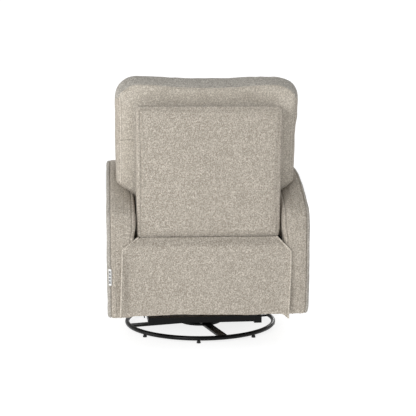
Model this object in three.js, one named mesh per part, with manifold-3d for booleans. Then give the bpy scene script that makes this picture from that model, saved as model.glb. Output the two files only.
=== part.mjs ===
// Upholstered swivel glider with a power recliner: a padded seat, arms and winged back
// on a gliding steel carriage that turns on a round steel floor base.
// Millimetres, +Z up. The chair faces -Y and the sitter's left is +X. The origin is on
// the floor, on the swivel axis, at the middle of the chair's outer box.

import * as THREE from "three";
import { mergeVertices } from "three/addons/utils/BufferGeometryUtils.js";
import Module from "manifold-3d";

const wasm = await Module();
wasm.setup();

// ---- Driving dimensions -------------------------------------------------------------

const GAP = 0.3; // between pieces that rest on each other
const RUNNING = 0.6; // between a pin and its hole
const SIDES = [["left", 1], ["right", -1]];

const RING = { radius: 308, tube: 9, z: 18.5 };
const FOOT = { count: 8, radius: 8.5, height: 9.2, first: 38.6 };
const SPOKE = { width: 36, z: [14, 22], reach: 298, angle: 13, hub: 88 };
const BEARING = { radius: 58, z: [22.3, 44], spindle: 12, top: 68 };
const TURNTABLE = { depth: 75, z: [46, 54], hole: 13 };
const RAIL = { x: [198, 228], y: 222, z: [54.3, 84] };
const POST = { x: [222, 228], y: 160, half: 15, top: 237 };
const GLIDE = { x: [232, 237], upper: 225, lower: 115, half: 11, pin: 5 };
const CARRIAGE = { x: [243, 247], y: [-215, 285], z: [100, 202], flange: 283.5, step: 4 };
const CROSS = { y: [240, 260], z: [122, 150] };

const ARM = { inner: 284.5, outer: 383, roll: 12, bottom: 122, front: -372, rear: 398, nose: 608 };
// The rear end and the long slope up to the top of an arm, as (y, z).
const ARM_RISE = [
  [364, 122], [385, 144], [395, 245], [398, 340], [398, 430], [391, 500], [372, 537],
  [300, 592], [205, 642], [97, 668], [-33, 686], [-163, 686], [-300, 677],
];
const BOARD = {
  x: [312, 344], pocket: 1.5,
  edge: [[-348, 128], [352, 128], [370, 240], [370, 465], [197, 592], [-33, 652], [-292, 646], [-348, 600]],
};
const CONTROL = { z: 285, length: 62, width: 13, thick: 3, buttons: 4, pitch: 13, travel: 1.2 };

const SIDE_PLATE = { x: [275.5, 283.5], y: [-335, 345], z: [202.5, 340] };
const SEAT_RAIL = { front: -216, middle: 100, rear: 255, half: 10 };
const SEAT = { half: 279, y: [-343, 266], z: [351, 476], roll: 26 };
const SPRING = { count: 5, pitch: 90, z: 341, wire: 4, loop: 24, turns: 7 };

const RECLINE = { y: 320, z: 405, tube: 12, pin: 6, lever: 105, x: -60, rest: 16 };
const PANEL = { half: 273, bottom: [372, 426], top: [412, 926], depth: 88, wall: 14 };
const PILLOW = { half: 275, top: 1030, corner: 80, roll: 24 };
const WING = { outer: 350, top: 1037, roll: 17 };
const FLAP = { half: 331, seam: 261, top: 424, chamfer: 39, bottom: 133, y: [400.5, 408.5] };
const STILE = { x: [222, 250], behind: [30, 60], top: 880, slat: [600, 630], width: 236 };

const FOOTREST = {
  pivot: [-262, 300], bar: 176, low: -80, high: 80, upper: 149.9, lower: 178, link: 81,
  half: 9, pin: 4.5, tube: 10, lever: 60, leverAngle: -126, x: 60,
};
const LAYER = { outer: [252, 256], middle: [246, 250], inner: [240, 244] };
const LEG_PAD = { half: 268, z: [139, 424], y: [-412, -362], board: 14 };

// ---- Materials ----------------------------------------------------------------------

function material(color, roughness, metalness = 0) {
  return new THREE.MeshStandardMaterial({ color, roughness, metalness });
}

const BOUCLE = material(0xbeb6aa, 0.95);
const BLACK_STEEL = material(0x121212, 0.4, 0.8);
const ZINC = material(0x9a9c9e, 0.35, 0.9);
const PLYWOOD = material(0xb08a5c, 0.7);
const BLACK_PLASTIC = material(0x1b1b1c, 0.5);
const GREY_PLASTIC = material(0x8d8f92, 0.45);
const RUBBER = material(0x101010, 0.9);

// ---- Solids -------------------------------------------------------------------------

function solid(geometry) {
  const bare = geometry.clone();
  bare.deleteAttribute("normal");
  bare.deleteAttribute("uv");
  const merged = mergeVertices(bare, 1e-4);
  const vertProperties = new Float32Array(merged.attributes.position.array);
  const triVerts = new Uint32Array(merged.index.array);
  return new wasm.Manifold(new wasm.Mesh({ numProp: 3, vertProperties, triVerts }));
}

function geometryOf(manifold) {
  const mesh = manifold.getMesh();
  const geometry = new THREE.BufferGeometry();
  geometry.setAttribute("position", new THREE.BufferAttribute(mesh.vertProperties, 3));
  geometry.setIndex(new THREE.BufferAttribute(mesh.triVerts, 1));
  geometry.computeVertexNormals();
  return geometry;
}

function join(...pieces) {
  return pieces.reduce((whole, piece) => whole.add(piece));
}

function cut(body, ...tools) {
  return tools.reduce((rest, tool) => rest.subtract(tool), body);
}

function block([x0, x1], [y0, y1], [z0, z1]) {
  const box = new THREE.BoxGeometry(x1 - x0, y1 - y0, z1 - z0);
  return solid(box.translate((x0 + x1) / 2, (y0 + y1) / 2, (z0 + z1) / 2));
}

// A block given on the +X side, moved to either side of the chair.
function sideBlock(side, x, y, z) {
  return block(across(side, x), y, z);
}

function across(side, [x0, x1]) {
  return side > 0 ? [x0, x1] : [-x1, -x0];
}

function disc([x, y], radius, [z0, z1], segments = 32) {
  const cylinder = new THREE.CylinderGeometry(radius, radius, z1 - z0, segments);
  return solid(cylinder.rotateX(Math.PI / 2).translate(x, y, (z0 + z1) / 2));
}

// A round bar along X through (y, z).
function barAlongX([x0, x1], [y, z], radius, segments = 14) {
  const cylinder = new THREE.CylinderGeometry(radius, radius, x1 - x0, segments);
  return solid(cylinder.rotateZ(Math.PI / 2).translate((x0 + x1) / 2, y, z));
}

function barAlongY(x, [y0, y1], z, radius, segments = 14) {
  const cylinder = new THREE.CylinderGeometry(radius, radius, y1 - y0, segments);
  return solid(cylinder.translate(x, (y0 + y1) / 2, z));
}

// A shape drawn in (y, z) and given thickness along X, its edges rolled over by `roll`.
function slabAlongX(shape, [x0, x1], roll = 0, curveSegments = 8) {
  const options = { depth: x1 - x0 - 2 * roll, bevelEnabled: roll > 0, curveSegments };
  if (roll > 0) {
    Object.assign(options, {
      bevelThickness: roll, bevelSize: roll, bevelOffset: -roll, bevelSegments: 3,
    });
  }
  const slab = new THREE.ExtrudeGeometry(shape, options);
  slab.applyMatrix4(new THREE.Matrix4().set(0, 0, 1, x0 + roll, 1, 0, 0, 0, 0, 1, 0, 0, 0, 0, 0, 1));
  return solid(slab);
}

// A shape drawn in (x, z) and given thickness along Y.
function slabAlongY(shape, [y0, y1], curveSegments = 8) {
  const slab = new THREE.ExtrudeGeometry(shape, { depth: y1 - y0, bevelEnabled: false, curveSegments });
  slab.rotateX(Math.PI / 2);
  return solid(slab.translate(0, y1, 0));
}

function outline(points) {
  return new THREE.Shape(points.map(([a, b]) => new THREE.Vector2(a, b)));
}

// A rectangle with its corners rounded, lower ones by `low` and upper ones by `high`.
function roundedOutline([a0, a1], [b0, b1], low, high) {
  const shape = new THREE.Shape();
  shape.moveTo(a0 + low, b0);
  shape.lineTo(a1 - low, b0);
  shape.absarc(a1 - low, b0 + low, low, -Math.PI / 2, 0);
  shape.lineTo(a1, b1 - high);
  shape.absarc(a1 - high, b1 - high, high, 0, Math.PI / 2);
  shape.lineTo(a0 + high, b1);
  shape.absarc(a0 + high, b1 - high, high, Math.PI / 2, Math.PI);
  shape.lineTo(a0, b0 + low);
  shape.absarc(a0 + low, b0 + low, low, Math.PI, Math.PI * 1.5);
  return shape;
}

// A flat bar with round ends between two points in (y, z), with a hole at each of `holes`.
function flatBar(x, from, to, half, holes, holeRadius) {
  const angle = Math.atan2(to[1] - from[1], to[0] - from[0]);
  const shape = new THREE.Shape();
  shape.absarc(from[0], from[1], half, angle + Math.PI / 2, angle + Math.PI * 1.5);
  shape.absarc(to[0], to[1], half, angle - Math.PI / 2, angle + Math.PI / 2);
  const bores = holes.map((hole) => barAlongX([x[0] - 1, x[1] + 1], hole, holeRadius, 16));
  return cut(slabAlongX(shape, x, 0, 6), ...bores);
}

const chair = new THREE.Group();

function add(name, manifold, look) {
  const mesh = new THREE.Mesh(geometryOf(manifold), look);
  mesh.name = name;
  chair.add(mesh);
}

// ---- Floor base ---------------------------------------------------------------------

function addBase() {
  add("base_ring", solid(new THREE.TorusGeometry(RING.radius, RING.tube, 10, 60).translate(0, 0, RING.z)),
    BLACK_STEEL);
  const spoke = block([-SPOKE.reach, SPOKE.reach], [-SPOKE.width / 2, SPOKE.width / 2], SPOKE.z);
  const cross = join(spoke.rotate([0, 0, SPOKE.angle]), spoke.rotate([0, 0, SPOKE.angle + 90]));
  add("base_spokes", join(cross, disc([0, 0], SPOKE.hub, SPOKE.z, 40)), BLACK_STEEL);
  for (let i = 0; i < FOOT.count; i += 1) {
    const angle = THREE.MathUtils.degToRad(FOOT.first + (i * 360) / FOOT.count);
    const at = [RING.radius * Math.cos(angle), RING.radius * Math.sin(angle)];
    add(`floor_foot_${i + 1}`, disc(at, FOOT.radius, [0, FOOT.height], 20), RUBBER);
  }
  add("swivel_pedestal", join(disc([0, 0], BEARING.radius, BEARING.z), disc([0, 0], BEARING.spindle,
    [BEARING.z[1] - 1, BEARING.top], 24)), BLACK_STEEL);
  const raceBore = disc([0, 0], BEARING.spindle + RUNNING, [0, 100], 24);
  add("bearing_race", cut(disc([0, 0], BEARING.radius, [BEARING.z[1] + GAP, TURNTABLE.z[0] - GAP]), raceBore),
    ZINC);
  add("swivel_nut", cut(disc([0, 0], 22, [TURNTABLE.z[1] + GAP, 63], 6), raceBore), ZINC);
}

// ---- Turntable and glide links ------------------------------------------------------

function addTurntable() {
  const bore = disc([0, 0], TURNTABLE.hole, [0, 100], 24);
  const plate = block([-RAIL.x[1], RAIL.x[1]], [-TURNTABLE.depth, TURNTABLE.depth], TURNTABLE.z);
  add("turntable_plate", cut(plate, bore), BLACK_STEEL);
  for (const [name, side] of SIDES) {
    const rail = sideBlock(side, RAIL.x, [-RAIL.y, RAIL.y], RAIL.z);
    const posts = [-POST.y, POST.y].map((y) => {
      const post = sideBlock(side, POST.x, [y - POST.half, y + POST.half], [RAIL.z[1] - 1, POST.top]);
      const hole = barAlongX(across(side, [POST.x[0] - 1, POST.x[1] + 1]), [y, GLIDE.upper],
        GLIDE.pin + RUNNING);
      return cut(post, hole);
    });
    add(`glide_rail_${name}`, join(rail, ...posts), BLACK_STEEL);
  }
  const inner = RAIL.x[0] - GAP;
  const span = [RAIL.z[0] + 6, RAIL.z[1]];
  add("glide_stretcher_front", block([-inner, inner], [-RAIL.y, -RAIL.y + 22], span), BLACK_STEEL);
  add("glide_stretcher_rear", block([-inner, inner], [RAIL.y - 22, RAIL.y], span), BLACK_STEEL);
}

// Each link hangs from a post by its upper pin and carries the carriage on its lower pin.
function addGlideLinks() {
  for (const [end, y] of [["front", -POST.y], ["rear", POST.y]]) {
    for (const [name, side] of SIDES) {
      const upper = [y, GLIDE.upper];
      const lower = [y, GLIDE.lower];
      const strap = flatBar(across(side, GLIDE.x), upper, lower, GLIDE.half, [], 1);
      const upperPin = barAlongX(across(side, [POST.x[0] - 2, GLIDE.x[1]]), upper, GLIDE.pin);
      const lowerPin = barAlongX(across(side, [GLIDE.x[0], CARRIAGE.x[1] + 2]), lower, GLIDE.pin);
      add(`glide_link_${end}_${name}`, join(strap, upperPin, lowerPin), ZINC);
    }
  }
}

// ---- Carriage -----------------------------------------------------------------------

function addCarriage() {
  for (const [name, side] of SIDES) {
    const [z0, z1] = CARRIAGE.z;
    const web = sideBlock(side, CARRIAGE.x, CARRIAGE.y, [z0, z1]);
    const shelf = sideBlock(side, [CARRIAGE.x[0], CARRIAGE.flange], CARRIAGE.y, [z1 - CARRIAGE.step, z1]);
    const holes = [-POST.y, POST.y].map((y) => barAlongX(across(side, [240, 250]), [y, GLIDE.lower],
      GLIDE.pin + RUNNING));
    add(`carriage_rail_${name}`, cut(join(web, shelf), ...holes), BLACK_STEEL);
  }
  const reach = CARRIAGE.x[0] - GAP;
  add("carriage_crossmember_rear", block([-reach, reach], CROSS.y, CROSS.z), BLACK_STEEL);
}

// ---- Arms ---------------------------------------------------------------------------

// Seen from the side: a nearly level top, a rounded front corner, and a rear end that falls
// away in a long slope so that the wings of the back can pass over it.
function armOutline() {
  const { front, bottom, nose } = ARM;
  const shape = new THREE.Shape();
  shape.moveTo(front + 20, bottom);
  shape.lineTo(...ARM_RISE[0]);
  shape.splineThru(ARM_RISE.slice(1).map(([y, z]) => new THREE.Vector2(y, z)));
  shape.quadraticCurveTo(front, ARM_RISE.at(-1)[1] - 4, front, nose);
  shape.lineTo(front, bottom + 20);
  shape.quadraticCurveTo(front, bottom, front + 20, bottom);
  return shape;
}

// The pocket, open below, that an arm's plywood board slides into.
function boardPocket() {
  const { edge, pocket } = BOARD;
  return outline(edge.map(([y, z], i) => {
    const openEnd = i < 2;
    return [y + Math.sign(y) * pocket, openEnd ? ARM.bottom - 10 : z + pocket];
  }));
}

// Frame for things set flush in the rolled edge between an arm's rear and outer faces:
// local X runs along the roll's slope and local Z up the chair, and +Y faces outwards.
function onRearCorner(manifold) {
  const middle = ARM.outer - ARM.roll / 2;
  return manifold.rotate([0, 0, -45]).translate([middle, ARM.rear - ARM.roll / 2, CONTROL.z]);
}

function controlBlock(halfWidth, [y0, y1], [z0, z1]) {
  return onRearCorner(block([-halfWidth, halfWidth], [y0, y1], [z0, z1]));
}

function buttonCentre(index) {
  return (index - (CONTROL.buttons - 1) / 2) * CONTROL.pitch;
}

function addArms() {
  for (const [name, side] of SIDES) {
    const whole = slabAlongX(armOutline(), across(side, [ARM.inner, ARM.outer]), ARM.roll, 5);
    const pocket = slabAlongX(boardPocket(), across(side,
      [BOARD.x[0] - BOARD.pocket, BOARD.x[1] + BOARD.pocket]));
    let cover = cut(whole, pocket);
    if (side > 0) {
      const half = CONTROL.length / 2 + GAP;
      cover = cut(cover, controlBlock(CONTROL.width / 2 + GAP, [-7, 20], [-half, half]));
    }
    add(`arm_cover_${name}`, cover, BOUCLE);
    add(`arm_board_${name}`, slabAlongX(outline(BOARD.edge), across(side, BOARD.x)), PLYWOOD);
  }
}

function addControls() {
  const half = CONTROL.length / 2;
  let plate = controlBlock(CONTROL.width / 2, [-CONTROL.thick, 0], [-half, half]);
  for (let i = 0; i < CONTROL.buttons; i += 1) {
    const z = buttonCentre(i);
    plate = plate.subtract(controlBlock(4.3, [-10, 10], [z - 4.8, z + 4.8]));
    add(`control_button_${i + 1}`, controlBlock(4, [-CONTROL.thick, 1], [z - 4.5, z + 4.5]), GREY_PLASTIC);
  }
  add("control_plate", plate, BLACK_PLASTIC);
}

// ---- Seat ---------------------------------------------------------------------------

function sideOutline() {
  const [y0, y1] = SIDE_PLATE.y;
  const [z0, z1] = SIDE_PLATE.z;
  return outline([
    [CARRIAGE.y[0] - 5, z0], [y1 - 55, z0], [y1, z1 - 40], [y1, 420], [y1 - 45, 420],
    [y1 - 75, z1], [y0 + 40, z1], [y0 + 40, z1 - 70],
  ]);
}

function seatRail(y, z) {
  const reach = SIDE_PLATE.x[0] + 1;
  return block([-reach, reach], [y - SEAT_RAIL.half, y + SEAT_RAIL.half], z);
}

function addSeatFrame() {
  const plates = SIDES.map(([, side]) => {
    const plate = slabAlongX(sideOutline(), across(side, SIDE_PLATE.x));
    const hinge = barAlongX(across(side, [270, 290]), [RECLINE.y, RECLINE.z], RECLINE.pin + RUNNING);
    const stub = barAlongX(across(side, [LAYER.outer[0] - 1, SIDE_PLATE.x[1]]), FOOTREST.pivot, FOOTREST.pin);
    return join(cut(plate, hinge), stub);
  });
  const rails = [
    seatRail(SEAT_RAIL.front, [282, 340]),
    seatRail(SEAT_RAIL.middle, [242, 292]),
    seatRail(SEAT_RAIL.rear, [320, 340]),
  ];
  add("seat_frame", join(...plates, ...rails), BLACK_STEEL);
}

// Sinuous springs: flat zigzag wires from the front rail to the rear rail.
function springOutline(x) {
  const length = SEAT_RAIL.rear - SEAT_RAIL.front;
  const steps = SPRING.turns * 4;
  const advance = length / (SPRING.turns * Math.PI);
  const left = [];
  const right = [];
  for (let i = 0; i <= steps; i += 1) {
    const turn = (i / 4) * Math.PI;
    const slope = SPRING.loop * Math.cos(turn);
    const scale = SPRING.wire / 2 / Math.hypot(advance, slope);
    const at = [x + SPRING.loop * Math.sin(turn), SEAT_RAIL.front + advance * turn];
    left.push([at[0] - advance * scale, at[1] + slope * scale]);
    right.push([at[0] + advance * scale, at[1] - slope * scale]);
  }
  return outline([...left, ...right.reverse()]);
}

// Five zigzag wires held together by two tie wires.
function addSeatSprings() {
  const deck = [-60, 90].map((y) => block([-225, 225], [y - 2, y + 2], [SPRING.z, SPRING.z + SPRING.wire]));
  for (let i = 0; i < SPRING.count; i += 1) {
    const x = (i - (SPRING.count - 1) / 2) * SPRING.pitch;
    const wire = new THREE.ExtrudeGeometry(springOutline(x), { depth: SPRING.wire, bevelEnabled: false });
    deck.push(solid(wire.translate(0, 0, SPRING.z)));
  }
  add("seat_springs", join(...deck), ZINC);
}

function addSeatCushion() {
  const shape = roundedOutline(SEAT.y, SEAT.z, 30, 46);
  add("seat_cushion", slabAlongX(shape, [-SEAT.half, SEAT.half], SEAT.roll, 5), BOUCLE);
}

// ---- Back ---------------------------------------------------------------------------

// The plane of the outer back leans; y of a line parallel to it at a given height.
function leaning(offset, z) {
  const lean = (PANEL.top[0] - PANEL.bottom[0]) / (PANEL.top[1] - PANEL.bottom[1]);
  return PANEL.bottom[0] - offset + lean * (z - PANEL.bottom[1]);
}

function leaningOutline(rearOffset, frontOffset, z0, z1) {
  return outline([
    [leaning(frontOffset, z0), z0], [leaning(rearOffset, z0), z0],
    [leaning(rearOffset, z1), z1], [leaning(frontOffset, z1), z1],
  ]);
}

function addBackPanel() {
  const [z0, z1] = [PANEL.bottom[1], PANEL.top[1]];
  const whole = slabAlongX(leaningOutline(0, PANEL.depth, z0, z1), [-PANEL.half, PANEL.half], 8);
  const rounding = slabAlongY(roundedOutline([-PANEL.half, PANEL.half], [z0, z1], 2, 22), [200, 500], 5);
  const room = PANEL.half - PANEL.wall;
  const pocket = slabAlongX(leaningOutline(PANEL.wall, PANEL.depth + 40, z0 - 40, z1 - PANEL.wall),
    [-room, room]);
  add("back_panel", cut(whole.intersect(rounding), pocket), BOUCLE);
}

// Welded frame in the back: hinge tube, two stiles, top rail, slat and the motor's lever.
function addBackFrame() {
  const hinge = [RECLINE.y, RECLINE.z];
  const tube = barAlongX([-262, 262], hinge, RECLINE.tube);
  const pin = barAlongX([-SIDE_PLATE.x[1], SIDE_PLATE.x[1]], hinge, RECLINE.pin);
  const stiles = SIDES.map(([, side]) => slabAlongX(
    leaningOutline(...STILE.behind, RECLINE.z, STILE.top), across(side, STILE.x)));
  const [rail, slat] = [[STILE.top - 30, STILE.top], STILE.slat].map(([z0, z1]) => slabAlongX(
    leaningOutline(...STILE.behind, z0, z1), [-STILE.width, STILE.width]));
  const angle = THREE.MathUtils.degToRad(RECLINE.rest);
  const tip = [RECLINE.y + RECLINE.lever * Math.sin(angle), RECLINE.z - RECLINE.lever * Math.cos(angle)];
  const lever = flatBar([RECLINE.x - 3, RECLINE.x + 3], hinge, tip, 9, [tip], 5);
  add("back_frame", join(tube, pin, ...stiles, rail, slat, lever), BLACK_STEEL);
}

function addPillow() {
  const shape = new THREE.Shape();
  shape.moveTo(118, 484);
  shape.lineTo(leaning(96, 484), 484);
  shape.lineTo(leaning(110, 980), 980);
  shape.quadraticCurveTo(leaning(112, PILLOW.top), PILLOW.top, 240, PILLOW.top);
  shape.quadraticCurveTo(130, PILLOW.top, 122, 930);
  shape.lineTo(78, 600);
  shape.quadraticCurveTo(70, 500, 118, 484);
  add("back_cushion", slabAlongX(shape, [-PILLOW.half, PILLOW.half], PILLOW.roll, 6), BOUCLE);
}

function wingOutline() {
  const shape = new THREE.Shape();
  shape.moveTo(270, 618);
  shape.lineTo(leaning(110, 980), 980);
  shape.quadraticCurveTo(leaning(112, WING.top), WING.top, 240, WING.top);
  shape.quadraticCurveTo(120, WING.top, 96, 930);
  shape.lineTo(46, 760);
  shape.quadraticCurveTo(26, 688, 96, 682);
  shape.lineTo(170, 668);
  return shape;
}

function addWings() {
  const rounding = slabAlongY(roundedOutline([-WING.outer, WING.outer], [560, WING.top], 4, PILLOW.corner),
    [0, 400]);
  for (const [name, side] of SIDES) {
    const wing = slabAlongX(wingOutline(), across(side, [PILLOW.half + GAP, WING.outer]), WING.roll, 6);
    add(`wing_${name}`, wing.intersect(rounding), BOUCLE);
  }
}

// Fabric flap over the rear opening, held to the backs of the arms.
function addFlap() {
  const { half, seam, top, bottom, chamfer } = FLAP;
  const shape = outline([
    [-half, bottom], [half, bottom], [half, top - chamfer], [seam, top],
    [-seam, top], [-half, top - chamfer],
  ]);
  add("rear_flap", slabAlongY(shape, FLAP.y), BOUCLE);
}

// ---- Footrest -----------------------------------------------------------------------

// A point `distance` along a direction that rises `degrees` above forwards (-Y).
function along([y, z], distance, degrees) {
  const angle = THREE.MathUtils.degToRad(degrees);
  return [y - distance * Math.cos(angle), z + distance * Math.sin(angle)];
}

const half = FOOTREST.bar / 2;
const MIDDLE = along(FOOTREST.pivot, half, FOOTREST.low);
const LOWER_END = along(FOOTREST.pivot, FOOTREST.bar, FOOTREST.low);
const UPPER_END = along(MIDDLE, half, FOOTREST.high);
const REAR_END = along(MIDDLE, -half, FOOTREST.high);
const CROSSING = along(LOWER_END, half, FOOTREST.high);
const PANEL_PIVOT = along(LOWER_END, FOOTREST.upper, FOOTREST.high);
const LINK_PIVOT = along(UPPER_END, FOOTREST.lower, FOOTREST.low);
const PANEL_STUD = along(LINK_PIVOT, FOOTREST.link, 87.9);

function studs(side, layers, ...points) {
  return points.map((point) => barAlongX(across(side, layers), point, FOOTREST.pin, 16));
}

function addFootrestLinks() {
  const hole = FOOTREST.pin + RUNNING;
  const { outer, middle, inner } = LAYER;
  const carriers = SIDES.map(([, side]) => join(
    flatBar(across(side, outer), FOOTREST.pivot, LOWER_END, FOOTREST.half, [FOOTREST.pivot], hole),
    ...studs(side, [middle[0] - 1, outer[1]], MIDDLE, LOWER_END),
  ));
  const inside = outer[0] + 1;
  const bores = SIDES.map(([, side]) => barAlongX(across(side, [240, 270]), FOOTREST.pivot, hole));
  const tube = cut(barAlongX([-inside, inside], FOOTREST.pivot, FOOTREST.tube), ...bores);
  const tip = along(FOOTREST.pivot, FOOTREST.lever, FOOTREST.leverAngle);
  const lever = flatBar([FOOTREST.x - 3, FOOTREST.x + 3], FOOTREST.pivot, tip, 8, [tip], 4);
  add("footrest_lift_arms", join(...carriers, tube, lever), ZINC);
  for (const [name, side] of SIDES) {
    const rearBar = flatBar(across(side, middle), REAR_END, UPPER_END, FOOTREST.half,
      [MIDDLE, UPPER_END], hole);
    const topBar = flatBar(across(side, middle), LOWER_END, PANEL_PIVOT, FOOTREST.half,
      [LOWER_END, CROSSING, PANEL_PIVOT], hole);
    const frontBar = join(
      flatBar(across(side, outer), UPPER_END, LINK_PIVOT, FOOTREST.half, [], hole),
      ...studs(side, [middle[0] - 1, outer[1]], UPPER_END, CROSSING, LINK_PIVOT),
    );
    const push = flatBar(across(side, middle), LINK_PIVOT, PANEL_STUD, 8, [LINK_PIVOT], hole);
    const slot = barAlongX(across(side, [240, 256]), PANEL_STUD, 6, 16);
    add(`footrest_cross_bar_${name}`, rearBar, ZINC);
    add(`footrest_top_bar_${name}`, topBar, ZINC);
    add(`footrest_front_bar_${name}`, frontBar, ZINC);
    add(`footrest_tilt_link_${name}`, cut(push, slot), ZINC);
  }
}

// Plywood board with a steel ear at each side, and the pad on its front.
function addFootrestPanel() {
  const { half: width, z, y, board } = LEG_PAD;
  const back = y[1] + board;
  const panel = block([-width + 14, width - 14], [y[1] + GAP, back], [z[0] + 14, z[1] - 14]);
  const ears = SIDES.map(([, side]) => {
    const ear = slabAlongX(outline([
      [back - 2, 330], [PANEL_PIVOT[0] + 9, PANEL_PIVOT[1] + 12], [PANEL_PIVOT[0] + 9, PANEL_PIVOT[1] - 10],
      [PANEL_STUD[0] + 9, PANEL_STUD[1] - 8], [back - 2, PANEL_STUD[1] - 40],
    ]), across(side, LAYER.inner));
    const [upper] = studs(side, [LAYER.inner[0], LAYER.middle[1] + 1], PANEL_PIVOT);
    return join(ear, upper);
  });
  add("footrest_board", join(panel, ...ears), PLYWOOD);
  const pad = roundedOutline([-width, width], z, 20, 20);
  add("footrest_pad", slabAlongY(pad, y), BOUCLE);
}

// ---- Motors -------------------------------------------------------------------------

// A linear motor: gearbox, outer tube along Y and, sliding in it, a rod with an open fork.
// The bore runs back far enough for a rod that draws in by `drawsIn`.
function addMotor(name, x, z, direction, box, tube, rod, drawsIn) {
  const ordered = ([a, b]) => (a < b ? [a, b] : [b, a]);
  const gearbox = block([x - 24, x + 24], ordered(box), [z - 28, z + 16]);
  const barrel = barAlongY(x, ordered([box[1] - direction, tube]), z, 13);
  const bore = barAlongY(x, ordered([rod[0] - (drawsIn + 2) * direction, tube + direction]), z, 8.5);
  add(`${name}_motor`, cut(join(gearbox, barrel), bore), BLACK_PLASTIC);
  const shaft = barAlongY(x, ordered(rod), z, 7);
  const end = rod[1];
  const forkLength = ordered([end - direction * 2, end + direction * 26]);
  const fork = block([x - 9, x + 9], forkLength, [z - 9, z + 9]);
  const slotLength = ordered([end + direction * 3, end + direction * 40]);
  const slot = block([x - 4.5, x + 4.5], slotLength, [z - 20, z + 20]);
  add(`${name}_rod`, join(shaft, cut(fork, slot)), ZINC);
}

addBase();
addTurntable();
addGlideLinks();
addCarriage();
addArms();
addControls();
addSeatFrame();
addSeatSprings();
addSeatCushion();
addBackPanel();
addBackFrame();
addPillow();
addWings();
addFlap();
addFootrestLinks();
addFootrestPanel();
const [motorFront, motorRear] = [-1, 1].map((end) => SEAT_RAIL.middle + end * (SEAT_RAIL.half + GAP));
addMotor("recline", RECLINE.x, 303, 1, [motorRear, 180], 250, [196, 326], 58);
addMotor("footrest", FOOTREST.x, 240, -1, [motorFront, -30], -130, [-40, -208], 0);

export default chair;
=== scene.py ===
# An upholstered power glider: a winged back, sloping arms and a padded seat in boucle,
# on a steel carriage that glides over a turntable and a round floor ring.
# Metres, +Z up. The sitter faces -Y and the sitter's left is +X.

import math

import bmesh
import bpy
import numpy as np
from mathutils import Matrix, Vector, noise


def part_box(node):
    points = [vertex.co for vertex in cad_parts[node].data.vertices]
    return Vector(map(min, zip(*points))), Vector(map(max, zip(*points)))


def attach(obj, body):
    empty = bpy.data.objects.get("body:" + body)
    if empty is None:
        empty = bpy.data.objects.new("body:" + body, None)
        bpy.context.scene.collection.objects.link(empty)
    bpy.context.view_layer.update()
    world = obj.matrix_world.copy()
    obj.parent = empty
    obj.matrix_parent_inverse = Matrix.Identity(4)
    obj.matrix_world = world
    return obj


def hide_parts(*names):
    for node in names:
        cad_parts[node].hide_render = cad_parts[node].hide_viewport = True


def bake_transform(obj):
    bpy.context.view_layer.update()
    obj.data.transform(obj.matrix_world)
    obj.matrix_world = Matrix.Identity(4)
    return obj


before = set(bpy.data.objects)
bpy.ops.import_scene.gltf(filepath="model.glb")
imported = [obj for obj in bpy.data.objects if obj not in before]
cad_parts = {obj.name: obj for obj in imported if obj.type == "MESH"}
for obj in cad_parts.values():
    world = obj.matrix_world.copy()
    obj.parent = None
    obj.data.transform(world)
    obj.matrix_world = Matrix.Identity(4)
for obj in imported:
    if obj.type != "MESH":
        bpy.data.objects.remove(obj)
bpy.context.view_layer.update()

# ---- Studio: camera, floor and light --------------------------------------------------
# The chair is seen from behind, from a little to the sitter's left, at seat-back height.
# A pale floor that glows a little, so shadows stay light, and broad soft lights.

eye = Vector((0.3649, 3.9492, 0.9852))
heading = Vector((-0.09955, -0.98745, -0.12264))
lens = bpy.data.cameras.new("studio_camera")
lens.lens = 82.8
lens.sensor_width = 36
camera = bpy.data.objects.new("studio_camera", lens)
camera.location = eye
camera.rotation_euler = heading.to_track_quat("-Z", "Y").to_euler()
bpy.context.collection.objects.link(camera)
bpy.context.scene.camera = camera

world = bpy.data.worlds.new("studio_air")
world.use_nodes = True
air = world.node_tree
lit_air = air.nodes["Background"]
lit_air.inputs["Color"].default_value = (0.97, 0.985, 1.0, 1)
lit_air.inputs["Strength"].default_value = 0.5
seen_air = air.nodes.new("ShaderNodeBackground")
seen_air.inputs["Color"].default_value = (1, 1, 1, 1)
seen_air.inputs["Strength"].default_value = 1.1
direct = air.nodes.new("ShaderNodeLightPath")
chosen = air.nodes.new("ShaderNodeMixShader")
air.links.new(direct.outputs["Is Camera Ray"], chosen.inputs[0])
air.links.new(lit_air.outputs["Background"], chosen.inputs[1])
air.links.new(seen_air.outputs["Background"], chosen.inputs[2])
air.links.new(chosen.outputs["Shader"], air.nodes["World Output"].inputs["Surface"])
bpy.context.scene.world = world
bpy.context.scene.view_settings.view_transform = "Standard"


def soft_light(name, place, target, size, power):
    lamp = bpy.data.lights.new(name, "AREA")
    lamp.shape = "RECTANGLE"
    lamp.size, lamp.size_y = size
    lamp.energy = power
    holder = bpy.data.objects.new(name, lamp)
    holder.location = place
    aim = Vector(target) - Vector(place)
    holder.rotation_euler = aim.to_track_quat("-Z", "Y").to_euler()
    bpy.context.collection.objects.link(holder)


soft_light("key_light", (2.4, 4.0, 1.7), (0, 0.2, 0.6), (1.6, 1.6), 84)
soft_light("side_light", (4.2, 0.6, 0.8), (0.2, 0, 0.5), (2.0, 1.6), 34)
soft_light("front_light", (-1.6, -4.0, 2.0), (0, 0, 0.5), (2.2, 2.2), 70)
soft_light("top_light", (-0.6, -0.8, 3.6), (0, 0, 0.6), (2.4, 2.4), 14)

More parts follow.
